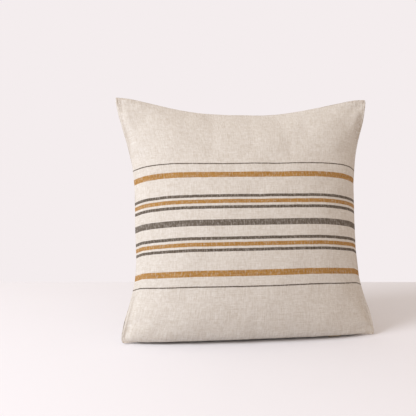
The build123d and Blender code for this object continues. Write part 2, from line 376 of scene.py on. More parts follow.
def joined_cover(rest):
    """Both panels as one mesh, joined at their borders, and each panel's point numbers."""
    count = SIM_CELLS + 1
    inner = [(i, j) for i in range(1, count - 1) for j in range(1, count - 1)]
    front_number = np.arange(count * count).reshape(count, count)
    back_number = front_number.copy()
    for k, (i, j) in enumerate(inner):
        back_number[i, j] = count * count + k
    points = np.concatenate([rest[FRONT].reshape(-1, 3), [rest[BACK][i, j] for i, j in inner]])
    faces = grid_faces(count, count, False)
    for i in range(count - 1):
        for j in range(count - 1):
            faces.append([back_number[i + a, j + b] for a, b in ((0, 0), (0, 1), (1, 1), (1, 0))])
    cover = new_object("cover_cloth", points, faces, bpy.data.materials.new("none"))
    seam = {int(k) for line in (front_number[[0, -1]], front_number[:, [0, -1]]) for k in line.ravel()}
    resting = {k for k, point in enumerate(points) if point[2] < RESTING_HEIGHT}
    cover.vertex_groups.new(name="held").add(sorted(seam | resting), 1.0, "REPLACE")
    return cover, {FRONT: front_number, BACK: back_number}


def settled_points(cover):
    """Runs the cloth, takes the object away and returns where its points came to lie."""
    cloth = add_modifier(cover, "CLOTH")
    for name, value in CLOTH_SETTINGS.items():
        setattr(cloth.settings, name, value)
    cloth.settings.effector_weights.gravity = 0
    cloth.point_cache.frame_start = 1
    cloth.point_cache.frame_end = SIM_FRAMES
    scene = bpy.context.scene
    scene.frame_start = 1
    scene.frame_end = SIM_FRAMES
    for step in range(1, SIM_FRAMES + 1):
        scene.frame_set(step)
    apply_modifiers(cover)
    moved = np.empty(len(cover.data.vertices) * 3)
    cover.data.vertices.foreach_get("co", moved)
    bpy.data.objects.remove(cover)
    scene.frame_set(1)
    return moved.reshape(-1, 3)


def simulated_offsets():
    """Runs the cover as cloth under the fill's pressure. Returns each panel's offsets on an even grid."""
    columns = np.linspace(-1, 1, SIM_CELLS + 1)
    rows = np.linspace(0, 1, SIM_CELLS + 1)
    rest = {side: panel_grid(columns, rows, side, edge=0) for side in (FRONT, BACK)}
    cover, numbers = joined_cover(rest)
    moved = settled_points(cover)
    offsets = {}
    for side in (FRONT, BACK):
        offset = moved[numbers[side]] - rest[side]
        offset = SIM_KEEP * (offset - BROAD_SHARE * blurred(offset, BROAD_PASSES))
        length = np.linalg.norm(offset, axis=2, keepdims=True)
        offsets[side] = offset * np.minimum(1, SIM_CAP / np.maximum(length, 1e-9))
    return offsets


# ======== Small folds that the simulation's cells are too large for ========

NEAR_CORNER = 0.085         # how far along a seam its corner's folds reach
RIDGE_SHARES = {"left": 1.0, "right": 0.8, "top": 0.7, "bottom": 0.2}
RIDGE_AT = 0.0098           # the folded allowance's inner edge, in from the seam
RIDGE_WIDTH = 0.0012
RIDGE_SOFTNESS = 0.0008
RIDGE_HEIGHT = 0.00045
PUCKER_HEIGHT = 0.0012
PUCKER_WAVE = 0.013
PUCKER_REACH = 0.017
PUCKER_START = 0.0015
FAN_HEIGHT = 0.0012         # of the tucks that fan out from each corner
FAN_FOLDS = 7
FAN_MIDDLE = 0.045
FAN_REACH = 0.028
DRIFT_HEIGHT = 0.00038
FREE_HEIGHT = 0.012         # above the floor, where the cloth's folds are at their full height


def waves(at, wavelength, phases):
    """A smooth irregular wave along a distance, from -1 to 1."""
    total = np.zeros_like(at)
    for k, phase in enumerate(phases):
        total += np.sin(2 * math.pi * at / (wavelength * (0.7 + 0.35 * k)) + phase) / (1 + 0.5 * k)
    return total / 2.0


def seam_relief(name, distance, along, phases):
    """The step and ridge of the folded allowance behind one seam, and the seam's puckers."""
    ends = np.minimum(along, CUT - along)
    near_corner = np.exp(-(ends / NEAR_CORNER) ** 2)
    ridge = np.exp(-((distance - RIDGE_AT) / RIDGE_WIDTH) ** 2)
    step = (1 - np.exp(-distance / RIDGE_WIDTH)) / (1 + np.exp((distance - RIDGE_AT) / RIDGE_SOFTNESS))
    folded = RIDGE_SHARES[name] * (0.12 + 0.88 * near_corner) * RIDGE_HEIGHT * (ridge + step)
    pucker = np.exp(-distance / PUCKER_REACH) * (1 - np.exp(-distance / PUCKER_START))
    strength = (0.25 + 0.75 * near_corner) * (0.5 if name == "bottom" else 1)
    return folded + PUCKER_HEIGHT * strength * pucker * waves(along, PUCKER_WAVE, phases)


def corner_tucks(from_side, from_end, phase):
    """Shallow folds that fan out from one corner."""
    reach = np.hypot(from_side, from_end)
    turn = np.arctan2(from_end, from_side)
    return FAN_HEIGHT * np.sin(FAN_FOLDS * turn + phase) * np.exp(-((reach - FAN_MIDDLE) / FAN_REACH) ** 2)


def fold_heights(columns, rows, seed):
    """How far each point of a panel stands out for its seam ridges, puckers and corner tucks."""
    draw = np.random.default_rng(seed)
    u, v = np.meshgrid(columns, rows, indexing="ij")
    x, z = u * CUT / 2, v * CUT
    height = np.zeros_like(u)
    to_sides = {"left": CUT / 2 + x, "right": CUT / 2 - x, "top": CUT - z, "bottom": z}
    along = {"left": z, "right": z, "top": x + CUT / 2, "bottom": x + CUT / 2}
    for name, distance in to_sides.items():
        height += seam_relief(name, distance, along[name], draw.uniform(0, 2 * math.pi, 4))
    for across, end in ((-1, "top"), (1, "top"), (-1, "bottom"), (1, "bottom")):
        height += corner_tucks(CUT / 2 - across * x, to_sides[end], draw.uniform(0, 2 * math.pi))
    for k, (a, b) in enumerate(draw.uniform(0, 2 * math.pi, (6, 2))):
        length = 0.06 + 0.02 * k
        swell = np.sin(2 * math.pi * x / length + a) * np.sin(2 * math.pi * z / (1.4 * length) + b)
        height += DRIFT_HEIGHT * swell
    return height


def zip_share(x):
    """1 along the zip's opening, 0 past its ends."""
    return np.clip((ZIP_HALF - np.abs(x)) / ZIP_FADE, 0, 1)


def open_lips(points, side):
    """Keeps the panel's bottom edge back from the seam plane along the zip."""
    gap = LIP_GAP * zip_share(points[..., 0])
    behind = side * (points[..., 1] - SEAM_Y)
    low = (points[..., 2] < SEAM_HEIGHT + LIP_HEIGHT) & (gap > 0)
    points[..., 1] = np.where(low, SEAM_Y + side * np.maximum(behind, gap), points[..., 1])
    edge = points[:, 0]
    edge[:, 2] = edge[:, 2] + LIP_LIFT * zip_share(edge[:, 0])
    return points


# ======== Cover ========

PANEL_CELLS = 104
TURN_IN = (0.0007, 0.0045, ALLOWANCE)   # how far in from the seam each row of the folded allowance lies
TURN_CLEARANCE = 0.00025
TURN_TRIM = 17                          # points without an allowance at each end of a border
ZIP_TURN_RISE = {FRONT: 0.54, BACK: 0.06}   # how steeply the allowances beside the zip rise into the cover
TURN_UV = 0.004


def borders_of(points, side):
    """For each border: its points' numbers, the way its allowance folds in, and the way out in the cut."""
    count_u, count_v = points.shape[:2]
    number = np.arange(count_u * count_v).reshape(count_u, count_v)
    up_seam = np.array([0, math.sin(LEAN), math.cos(LEAN)])
    sideways = np.array([1.0, 0, 0])
    along_zip = zip_share(points[:, 0, 0])[:, None]
    bottom_way = along_zip * np.array([0, side, ZIP_TURN_RISE[side]]) + (1 - along_zip) * up_seam
    return [
        (number[0], np.tile(sideways, (count_v, 1)), (-1, 0)),
        (number[-1], np.tile(-sideways, (count_v, 1)), (1, 0)),
        (number[:, -1], np.tile(-up_seam, (count_u, 1)), (0, 1)),
        (number[:, 0], bottom_way, (0, -1)),
    ]


def add_allowances(points, uvs, faces, side):
    """Adds the folded-in allowances to a panel's faces. Returns all of its points and cut places."""
    face_points = points.reshape(-1, 3)
    all_points, all_uvs = [face_points], [uvs]
    total = len(face_points)
    clearance = np.array([0, side * TURN_CLEARANCE, 0])
    for numbers, way, out in borders_of(points, side):
        kept = numbers[TURN_TRIM:-TURN_TRIM]
        inward = way[TURN_TRIM:-TURN_TRIM]
        turned = (out in ((-1, 0), (0, 1))) != (side == BACK)
        previous = kept
        for k, step in enumerate(TURN_IN):
            fresh = np.arange(total, total + len(kept))
            total += len(kept)
            all_points.append(face_points[kept] + inward * step + clearance * (k > 0))
            all_uvs.append(uvs[kept] + np.array(out) * TURN_UV)
            for a in range(len(kept) - 1):
                quad = (previous[a], previous[a + 1], fresh[a + 1], fresh[a])
                faces.append(quad if turned else quad[::-1])
            previous = fresh
    return np.concatenate(all_points), np.concatenate(all_uvs)


def panel_points(columns, rows, side, offsets):
    """Points of one panel's crowned face, with its simulated relief and its small folds."""
    points = panel_grid(columns, rows, side)
    if offsets is not None:
        points = points + bilinear(offsets[side], columns, rows)
    heights = fold_heights(columns, rows, SEED + side)
    free = np.clip(points[..., 2] / FREE_HEIGHT, 0, 1)[..., None]
    points = points + outward_of(points, side) * heights[..., None] * free
    points[..., 2] = np.maximum(points[..., 2], FLOOR_GAP)
    return open_lips(points, side)


def cover_panel(name, side, offsets, material):
    """One panel, with its turned-in allowances, as cloth of real thickness."""
    columns = edge_dense(PANEL_CELLS)
    rows = (edge_dense(PANEL_CELLS) + 1) / 2
    points = panel_points(columns, rows, side, offsets)
    u, v = np.meshgrid((columns + 1) / 2 * CUT, rows * CUT, indexing="ij")
    faces = grid_faces(len(columns), len(rows), side == BACK)
    all_points, all_uvs = add_allowances(points, np.stack([u, v], 2).reshape(-1, 2), faces, side)
    panel = new_object(name, all_points, faces, material, all_uvs)
    subdivide(panel)
    add_modifier(panel, "SOLIDIFY", thickness=CLOTH, offset=-1, use_rim=True)
    apply_modifiers(panel)
    return panel


# ======== Materials ========

class Nodes:
    """Short ways to add and join the nodes of a material or a world."""

    def __init__(self, owner):
        owner.use_nodes = True
        self.owner = owner
        self.tree = owner.node_tree
        self.shader = self.tree.nodes.get("Principled BSDF") or self.tree.nodes["Background"]

    def add(self, kind, inputs=None, **settings):
        node = self.tree.nodes.new(kind)
        for key, value in settings.items():
            setattr(node, key, value)
        for key, value in (inputs or {}).items():
            self.join(value, node.inputs[key])
        return node

    def join(self, value, socket):
        if isinstance(value, bpy.types.NodeSocket):
            self.tree.links.new(value, socket)
        else:
            socket.default_value = value

    def place_on(self):
        """A point's place in the object's own frame."""
        return self.add("ShaderNodeTexCoord").outputs["Object"]

    def math(self, operation, a, b=0.0):
        return self.add("ShaderNodeMath", {0: a, 1: b}, operation=operation).outputs[0]

    def product(self, first, *others):
        for other in others:
            first = self.math("MULTIPLY", first, other)
        return first

    def weighted(self, *parts):
        """The sum of values, each times its weight."""
        total = 0.0
        for value, weight in parts:
            total = self.math("ADD", total, self.math("MULTIPLY", value, weight))
        return total

    def scaled(self, vector, scale):
        return self.add("ShaderNodeMapping", {"Vector": vector, "Scale": scale}).outputs[0]

    def noise(self, vector, scale, detail=2.0, roughness=0.5):
        inputs = {"Vector": vector, "Scale": scale, "Detail": detail, "Roughness": roughness}
        return self.add("ShaderNodeTexNoise", inputs).outputs[0]

    def wave(self, vector, scale, direction, distortion, detail=2.0, detail_scale=1.0):
        inputs = {"Vector": vector, "Scale": scale, "Distortion": distortion, "Detail": detail,
                  "Detail Scale": detail_scale}
        return self.add("ShaderNodeTexWave", inputs, bands_direction=direction).outputs[1]

    def spread(self, value, low, high, to_low=0.0, to_high=1.0):
        inputs = {"Value": value, "From Min": low, "From Max": high, "To Min": to_low, "To Max": to_high}
        return self.add("ShaderNodeMapRange", inputs).outputs[0]

    def mix(self, factor, a, b, blend="MIX"):
        node = self.add("ShaderNodeMix", data_type="RGBA", blend_type=blend)
        self.join(factor, node.inputs[0])
        self.join(a, node.inputs[6])
        self.join(b, node.inputs[7])
        return node.outputs[2]

    def bump(self, height, distance, strength, normal=None):
        inputs = {"Height": height, "Distance": distance, "Strength": strength}
        if normal is not None:
            inputs["Normal"] = normal
        return self.add("ShaderNodeBump", inputs).outputs[0]

    def finish(self, **values):
        """Sets the shader's sockets by name, with _ for a space."""
        for name, value in values.items():
            self.join(value, self.shader.inputs[name.replace("_", " ")])
        return self.owner


def material_nodes(name):
    """Nodes of a new material."""
    return Nodes(bpy.data.materials.new(name))


def colour(red, green, blue):
    return (red, green, blue, 1.0)


CREAM = colour(0.640, 0.602, 0.547)
CREAM_DARK = colour(0.540, 0.488, 0.415)
CREAM_LIGHT = colour(0.735, 0.708, 0.662)
OCHRE = colour(0.415, 0.198, 0.014)
OCHRE_DARK = colour(0.275, 0.122, 0.008)
CHARCOAL = colour(0.085, 0.060, 0.038)
CHARCOAL_DARK = colour(0.050, 0.036, 0.024)
# Painted shade of the seams' puckers and crevice, with their stitch marks; also the painted shadow over the
# allowance's fold and the painted shade at the corners' tips
SEAM_SHADE_AND_MARK_TINT = colour(0.440, 0.355, 0.270)
THREADS_PER_METRE = 1500.0
SLUB_STRETCH = 28.0         # threads' noise per metre along them
STRIPE_SOFTNESS = 0.0003
STRIPE_WANDER = 0.0011
# A wave texture's scale is 1 / (WAVE_UNIT * a thread's width), and each of its bands is two threads wide.
WAVE_UNIT = 6.5
LINEN_WEAVE = THREADS_PER_METRE / WAVE_UNIT


def linen_yarns(nodes, cut):
    """Noises that follow the fine threads and the thicker slubs, each way."""
    return {
        "weft": nodes.noise(nodes.scaled(cut, (SLUB_STRETCH, THREADS_PER_METRE, 1.0)), 1.0, 2.0),
        "warp": nodes.noise(nodes.scaled(cut, (THREADS_PER_METRE, SLUB_STRETCH, 1.0)), 1.0, 2.0),
        "weft_slub": nodes.noise(nodes.scaled(cut, (130.0, 640.0, 1.0)), 1.0, 3.0, 0.6),
        "warp_slub": nodes.noise(nodes.scaled(cut, (560.0, 110.0, 1.0)), 1.0, 3.0, 0.6),
    }


def stripe_mask(nodes, height, middle, width):
    """1 inside a stripe of the cut cloth, with edges as soft as one thread."""
    off = nodes.math("ABSOLUTE", nodes.math("SUBTRACT", height, middle))
    return nodes.spread(off, width / 2 + STRIPE_SOFTNESS, width / 2 - STRIPE_SOFTNESS)


def paired_mask(nodes, height, stripes):
    """1 inside each of these stripes, above and below the stripes' middle."""
    total = 0.0
    for way in (-1, 1):
        for off, width in stripes:
            total = nodes.math("ADD", total, stripe_mask(nodes, height, STRIPE_MIDDLE + way * off, width))
    return total


def linen_stripes(nodes, cut, up, yarns, cloth):
    """The dyed weft stripes over the plain cloth. The undyed warp shows through them."""
    wander = nodes.noise(nodes.scaled(cut, (60.0, 9.0, 1.0)), 1.0, 2.0)
    shift = nodes.math("MULTIPLY", nodes.math("SUBTRACT", wander, 0.5), STRIPE_WANDER)
    height = nodes.math("ADD", up, shift)
    fleck = nodes.noise(nodes.scaled(cut, (330.0, 150.0, 1.0)), 1.0, 2.0, 0.6)
    cover = nodes.product(
        nodes.spread(yarns["warp"], 0.40, 0.72, 1.0, 0.85),
        nodes.spread(fleck, 0.48, 0.74, 1.0, 0.66),
        nodes.spread(yarns["weft_slub"], 0.45, 0.75, 1.0, 0.92),
    )
    uneven = nodes.spread(yarns["weft"], 0.35, 0.65)
    ochre_dye = nodes.mix(uneven, OCHRE_DARK, OCHRE)
    charcoal_dye = nodes.mix(uneven, CHARCOAL_DARK, CHARCOAL)
    ochre = paired_mask(nodes, height, OCHRE_STRIPES)
    charcoal = paired_mask(nodes, height, [*CHARCOAL_STRIPES, THIN_STRIPE])
    wide = stripe_mask(nodes, height, STRIPE_MIDDLE, WIDE_STRIPE)
    dyed = [(ochre, 0.97, ochre_dye), (charcoal, 0.98, charcoal_dye), (wide, 0.94, charcoal_dye)]
    for mask, strength, dye in dyed:
        cloth = nodes.mix(nodes.product(cover, strength, mask), cloth, dye)
    return cloth


def linen_seam_shade_and_marks(nodes, cut, across, up, cloud, cloth):
    """Darker cloth along the seams: painted shade of their puckers and crevice, with the stitch marks. A
    painted shadow over the folded allowance's edge, and painted shade at the corners' tips, where they fold.
    """
    from_side = nodes.math("MINIMUM", across, nodes.math("SUBTRACT", CUT, across))
    from_end = nodes.math("MINIMUM", up, nodes.math("SUBTRACT", CUT, up))
    from_edge = nodes.math("MINIMUM", from_side, from_end)
    # Patches of the seams' painted shade and stitch marks, and of the tips' painted shade
    shade_and_mark_patches = nodes.spread(nodes.noise(cut, 160.0, 3.0), 0.42, 0.62)
    corner = nodes.math("ADD", nodes.spread(from_side, 0.085, 0.01), nodes.spread(from_end, 0.085, 0.01))
    strength = nodes.math("ADD", nodes.math("MULTIPLY", nodes.spread(corner, 1.0, 1.9), 0.6), 0.22)
    # Painted shade of every seam's puckers and crevice, stronger towards the corners, with its stitch marks
    seam = nodes.product(nodes.spread(from_edge, 0.0045, 0.0), shade_and_mark_patches, strength)
    cloth = nodes.mix(seam, cloth, SEAM_SHADE_AND_MARK_TINT)
    # Painted shadow line over the folded allowance's inner edge, beside the sides near their ends
    off_fold = nodes.math("ABSOLUTE", nodes.math("SUBTRACT", from_side, ALLOWANCE + 0.0013))
    fold = nodes.product(
        nodes.spread(off_fold, 0.0018, 0.0004),
        nodes.spread(from_end, 0.115, 0.04),
        nodes.spread(cloud, 0.35, 0.60, 0.15, 0.42),
    )
    cloth = nodes.mix(fold, cloth, SEAM_SHADE_AND_MARK_TINT)
    # Painted shade at the corners' tips, where the cloth folds
    tip_shade = nodes.spread(nodes.math("ADD", from_side, from_end), 0.026, 0.0)
    return nodes.mix(nodes.product(tip_shade, shade_and_mark_patches, 0.45), cloth, SEAM_SHADE_AND_MARK_TINT)


def linen_normal(nodes, cut, slubs):
    """Bump from the crumpled cloth and, over it, its slubs and weave."""
    over = nodes.wave(cut, LINEN_WEAVE, "X", 0.6)
    under = nodes.wave(cut, LINEN_WEAVE, "Y", 0.6)
    weave = nodes.weighted((over, 0.5), (under, 0.5))
    relief = nodes.weighted((weave, 0.4), (slubs, 1.4))
    crumple = nodes.bump(nodes.noise(cut, 95.0, 3.0, 0.55), 0.0012, 0.35)
    return nodes.bump(relief, 0.00045, 0.8, crumple)


def linen():
    """Striped linen-cotton cloth: slubby threads both ways, dyed weft stripes. The seams, the allowance's
    folds and the corners' tips are a little darker with painted shade, and the seams carry stitch marks.
    """
    nodes = material_nodes("striped_linen")
    cut = nodes.add("ShaderNodeUVMap", uv_map="cloth").outputs[0]
    split = nodes.add("ShaderNodeSeparateXYZ", {0: cut})
    across, up = split.outputs[0], split.outputs[1]
    yarns = linen_yarns(nodes, cut)
    cloud = nodes.noise(cut, 150.0, 3.0, 0.65)
    speck = nodes.noise(cut, 900.0, 1.0)
    threads = nodes.weighted((yarns["weft"], 0.5), (yarns["warp"], 0.5))
    slubs = nodes.weighted((yarns["weft_slub"], 0.45), (yarns["warp_slub"], 0.55))
    tone = nodes.weighted((threads, 0.45), (slubs, 0.40), (cloud, 0.15))
    cloth = nodes.mix(nodes.spread(tone, 0.40, 0.51), CREAM_DARK, CREAM)
    cloth = nodes.mix(nodes.spread(tone, 0.50, 0.60), cloth, CREAM_LIGHT)
    cloth = linen_stripes(nodes, cut, up, yarns, cloth)
    cloth = nodes.mix(nodes.math("MULTIPLY", speck, 0.10), cloth, CREAM_DARK, "MULTIPLY")
    # Painted shade along the seams, over the allowance's folds and at the corners' tips, with the seams'
    # stitch marks
    cloth = linen_seam_shade_and_marks(nodes, cut, across, up, cloud, cloth)
    rough = nodes.spread(tone, 0.35, 0.65, 0.96, 0.84)
    nodes.finish(Sheen_Weight=0.06, Sheen_Roughness=0.45, Specular_IOR_Level=0.14)
    return nodes.finish(Base_Color=cloth, Roughness=rough, Normal=linen_normal(nodes, cut, slubs))


def spun(name, base, dark):
    """Sewing thread: fine twisted strands and a little fuzz."""
    nodes = material_nodes(name)
    place_at = nodes.place_on()
    twist = nodes.wave(place_at, 900.0, "DIAGONAL", 3.0)
    fuzz = nodes.noise(place_at, 1600.0, 3.0, 0.6)
    patch = nodes.noise(place_at, 90.0, 3.0)
    amount = nodes.weighted((twist, 0.5), (fuzz, 0.5))
    tint = nodes.mix(nodes.spread(amount, 0.25, 0.75), dark, base)
    tint = nodes.mix(nodes.spread(patch, 0.35, 0.70, 0.0, 0.35), tint, dark)
    rough = nodes.spread(fuzz, 0.3, 0.7, 0.75, 0.90)
    nodes.finish(Sheen_Weight=0.25, Sheen_Roughness=0.4, Specular_IOR_Level=0.3)
    return nodes.finish(Base_Color=tint, Roughness=rough, Normal=nodes.bump(amount, 0.00012, 0.8))


def woven_tape(name, base, dark, ways, pitch, shine):
    """Close-woven narrow tape or cambric: fine ribs both ways, which shine more where shine is lower."""
    nodes = material_nodes(name)
    place_at = nodes.place_on()
    scale = 1 / (pitch * WAVE_UNIT)
    over = nodes.wave(place_at, scale, ways[0], 3.0)
    under = nodes.wave(place_at, scale * 1.2, ways[1], 3.0)
    weave = nodes.math("MULTIPLY", nodes.math("ADD", over, under), 0.5)
    patch = nodes.noise(place_at, 120.0, 4.0, 0.6)
    tint = nodes.mix(nodes.spread(weave, 0.2, 0.8), dark, base)
    tint = nodes.mix(nodes.spread(patch, 0.40, 0.70, 0.0, 0.4), tint, dark)
    rough = nodes.spread(patch, 0.3, 0.7, shine, shine + 0.2)
    nodes.finish(Sheen_Weight=0.15, Sheen_Roughness=0.35, Specular_IOR_Level=0.3)
    return nodes.finish(Base_Color=tint, Roughness=rough, Normal=nodes.bump(weave, pitch * 0.18, 0.7))


def coil_nylon():
    """Semi-matt nylon monofilament, dyed to the cloth."""
    nodes = material_nodes("zip_coil")
    mottle = nodes.noise(nodes.place_on(), 700.0, 3.0)
    tint = nodes.mix(mottle, colour(0.40, 0.33, 0.25), colour(0.52, 0.44, 0.34))
    rough = nodes.spread(mottle, 0.3, 0.7, 0.32, 0.48)
    nodes.finish(Specular_IOR_Level=0.5, Subsurface_Weight=0.05)
    return nodes.finish(Base_Color=tint, Roughness=rough, Normal=nodes.bump(mottle, 0.00004, 0.6))


def antique_brass():
    """Dull brass plate, dark in its hollows, rubbed bright and finely scratched."""
    nodes = material_nodes("zip_metal")
    place_at = nodes.place_on()
    tarnish = nodes.noise(place_at, 260.0, 4.0, 0.65)
    scratch = nodes.noise(nodes.scaled(place_at, (300.0, 4200.0, 2600.0)), 1.0, 2.0)
    rubbed = nodes.spread(nodes.add("ShaderNodeNewGeometry").outputs["Pointiness"], 0.50, 0.56)
    tint = nodes.mix(nodes.spread(tarnish, 0.35, 0.65), colour(0.13, 0.095, 0.055), colour(0.36, 0.26, 0.13))
    tint = nodes.mix(nodes.math("MULTIPLY", rubbed, 0.7), tint, colour(0.62, 0.48, 0.26))
    rough = nodes.spread(scratch, 0.3, 0.7, 0.28, 0.5)
    nodes.finish(Metallic=1.0)
    return nodes.finish(Base_Color=tint, Roughness=rough, Normal=nodes.bump(scratch, 0.00003, 0.5))


def fibre_fill():
    """Carded polyester fibre: soft white, with tangled strands."""
    nodes = material_nodes("fibre_fill")
    place_at = nodes.place_on()
    bent = nodes.noise(place_at, 60.0, 4.0, 0.6)
    strands = nodes.wave(place_at, 260.0, "DIAGONAL", 14.0, 4.0, 1.6)
    tint = nodes.mix(strands, colour(0.78, 0.78, 0.77), colour(0.90, 0.90, 0.89))
    tint = nodes.mix(nodes.spread(bent, 0.35, 0.7, 0.0, 0.4), tint, colour(0.68, 0.68, 0.68))
    normal = nodes.bump(nodes.math("ADD", strands, bent), 0.0012, 0.9)
    rough = nodes.spread(bent, 0.3, 0.7, 0.85, 1.0)
    nodes.finish(Sheen_Weight=0.5, Sheen_Roughness=0.3, Specular_IOR_Level=0.2)
    return nodes.finish(Base_Color=tint, Roughness=rough, Normal=normal)


# ======== Threads, stitches and the zip ========

STITCH = 0.0026
STITCH_GAP = 0.0005
STITCH_BOW = 0.00012
SEAM_SPAN = 0.82            # the share of each side that the seams' threads run along
SEAM_STEPS = 40
TUBE_GUIDE = np.array([0.13, 0.31, 0.94])   # any direction that no thread runs along


def tube(points, radius, sides, start):
    """Points and faces of a closed round tube along a path. Its points are numbered from start."""
    points = np.asarray(points, float)
    tangent = unit(np.gradient(points, axis=0))
    side_way = unit(np.cross(tangent, TUBE_GUIDE))
    up_way = np.cross(side_way, tangent)
    made, faces = [], []
    for k, point in enumerate(points):
        for s in range(sides):
            angle = 2 * math.pi * s / sides
            made.append(point + radius * (math.cos(angle) * side_way[k] + math.sin(angle) * up_way[k]))
    for k in range(len(points) - 1):
        for s in range(sides):
            a = start + k * sides + s
            b = start + k * sides + (s + 1) % sides
            faces.append((a, b, b + sides, a + sides))
    last = start + (len(points) - 1) * sides
    faces.append(tuple(start + s for s in range(sides))[::-1])
    faces.append(tuple(last + s for s in range(sides)))
    return made, faces


def tubes_object(name, paths, radius, material, sides=5):
    made, faces = [], []
    for path in paths:
        more, quads = tube(path, radius, sides, len(made))
        made += more
        faces += quads
    return new_object(name, made, faces, material)


def walk(line, step):
    """Even stations along a line of points, with the direction at each."""
    line = np.asarray(line, float)
    arc = arc_of(line)
    stations = np.arange(step / 2, arc[-1], step)
    at = read_along(line, arc, stations)
    return at, unit(read_along(line, arc, stations + step / 4) - at)


def lockstitches(line, out):
    """One short bowed path for each stitch along a line. out points away from the cloth."""
    bow = np.array(out, float) * STITCH_BOW
    paths = []
    for at, way in zip(*walk(line, STITCH)):
        half = way * (STITCH - STITCH_GAP) / 2
        paths.append([at - half - bow, at - half * 0.6 + bow, at + half * 0.6 + bow, at + half - bow])
    return paths


def zigzag(line, reach, step, out, lift):
    """An overlock's path: loops over an edge, from one side of it to the other."""
    path = []
    out, reach = np.array(out, float), np.array(reach, float)
    for k, at in enumerate(walk(line, step)[0]):
        side = 1 if k % 2 else -1
        path.append(at + reach * side + out * lift)
        path.append(at + reach * side * 0.3 - out * lift)
    return path


def seam_lines(inset):
    """The two sides and the top of the outline at an inset, in the seam plane."""
    t = np.linspace(-SEAM_SPAN, SEAM_SPAN, SEAM_STEPS)
    up, one = MID_HEIGHT * (1 + t) / 2, np.ones_like(t)
    lines = []
    for across, height in ((-one, up), (one, up), (t, one * MID_HEIGHT)):
        x, z = seam_point(across, height, inset)
        lines.append(np.stack([x, z * math.tan(LEAN) + SEAM_Y, z], 1))
    return lines


def seam_threads(material):
    """The lockstitched seam, a needle thread in front and a bobbin thread behind, and the overlock."""
    seam_inset, thread_off = 0.0035, 0.00112
    for name, side in (("seam_needle_thread", -1), ("seam_bobbin_thread", 1)):
        lines = [line + np.array((0, side * thread_off, 0)) for line in seam_lines(seam_inset)]
        paths = [path for line in lines for path in lockstitches(line, (0, side, 0))]
        stitches = tubes_object(name + "_stitches", paths, 0.00016, material)
        place(stitches, [name])
    overlock_inset, pitch, reach = 0.0097, 0.0011, 0.0008
    ways = ((reach, 0, 0), (reach, 0, 0), (0, 0, reach))
    lines = seam_lines(overlock_inset)
    paths = [zigzag(line, way, pitch, (0, 1, 0), pitch) for line, way in zip(lines, ways)]
    overlock = tubes_object("allowance_overlock_loops", paths, 0.00014, material, sides=4)
    place(overlock, ["allowance_overlock_thread"])


def insert_threads(material):
    """The insert's edge seam, and the whipstitches that close its stuffing gap."""
    paths = [path for line in seam_lines(0.0135) for path in lockstitches(line, (0, -1, 0))]
    edge = tubes_object("insert_edge_stitches", paths, 0.00018, material)
    place(edge, ["insert_edge_thread"])
    low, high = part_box("insert_closing_stitches")
    pitch, slant, bend = 0.004, 0.0006, 0.0008
    paths = []
    for k in range(int((high.x - low.x) / pitch) + 1):
        x = low.x + k * pitch
        paths.append([
            (x, low.y, low.z),
            (x + slant, low.y + bend, high.z),
            (x + 2 * slant, high.y - bend, high.z),
            (x + 3 * slant, high.y, low.z),
        ])
    closing = tubes_object("insert_closing_whipstitches", paths, 0.00016, material)
    place(closing, ["insert_closing_stitches"])


def strip(name, lines, material, thickness):
    """A woven strip through several lines of points, all with as many points."""
    lines = np.array(lines)
    faces = grid_faces(lines.shape[0], lines.shape[1], False)
    made = new_object(name, lines.reshape(-1, 3), faces, material)
    add_modifier(made, "SOLIDIFY", thickness=thickness, offset=0)
    subdivide(made)
    apply_modifiers(made)
    return made


def zip_tapes(material):
    """Each tape has a thicker ribbed edge beside the coil and a thin selvedge."""
    steps, rib = 150, 0.00006
    for name in ("zipper_tape_front", "zipper_tape_back"):
        low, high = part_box(name)
        x = np.linspace(low.x + 0.0005, high.x - 0.0005, steps)
        middle = (low.z + high.z) / 2
        lines = []
        for k, share in enumerate(np.linspace(0.04, 0.96, 9)):
            y = low.y + (high.y - low.y) * share
            ripple = 0.00005 * np.sin(x / 0.0017 + share * 3) + (rib if k % 2 else 0)
            from_coil = (1 - share) if name.endswith("front") else share
            edge = rib if from_coil < 0.2 else 0
            lines.append(np.stack([x, np.full(steps, y), middle + ripple - edge], 1))
        place(strip(name + "_woven", lines, material, 0.00028), [name])


def zip_coils(material):
    """Both coils as their real turns of monofilament, meshing along the middle."""
    pitch, wire, per_turn = 0.00125, 0.00024, 12
    outer, inner = 0.00215, -0.00025
    for name, side in (("zipper_coil_front", -1), ("zipper_coil_back", 1)):
        low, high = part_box(name)
        turns = int((high.x - low.x) / pitch)
        angle = np.linspace(0, 2 * math.pi * turns, turns * per_turn)
        centre, reach = side * (outer + inner) / 2, side * (outer - inner) / 2
        half_height = (high.z - low.z) / 2 - 0.0002
        x = low.x + angle / (2 * math.pi) * pitch + (pitch / 2 if side > 0 else 0)
        y = SEAM_Y + centre - reach * np.cos(angle)
        head = 1 + 0.18 * np.cos(2 * angle)
        z = (low.z + high.z) / 2 + half_height * head * np.sin(angle) * 0.9
        coil = tubes_object(name + "_turns", [np.stack([x, y, z], 1)], wire, material, sides=6)
        place(coil, [name])


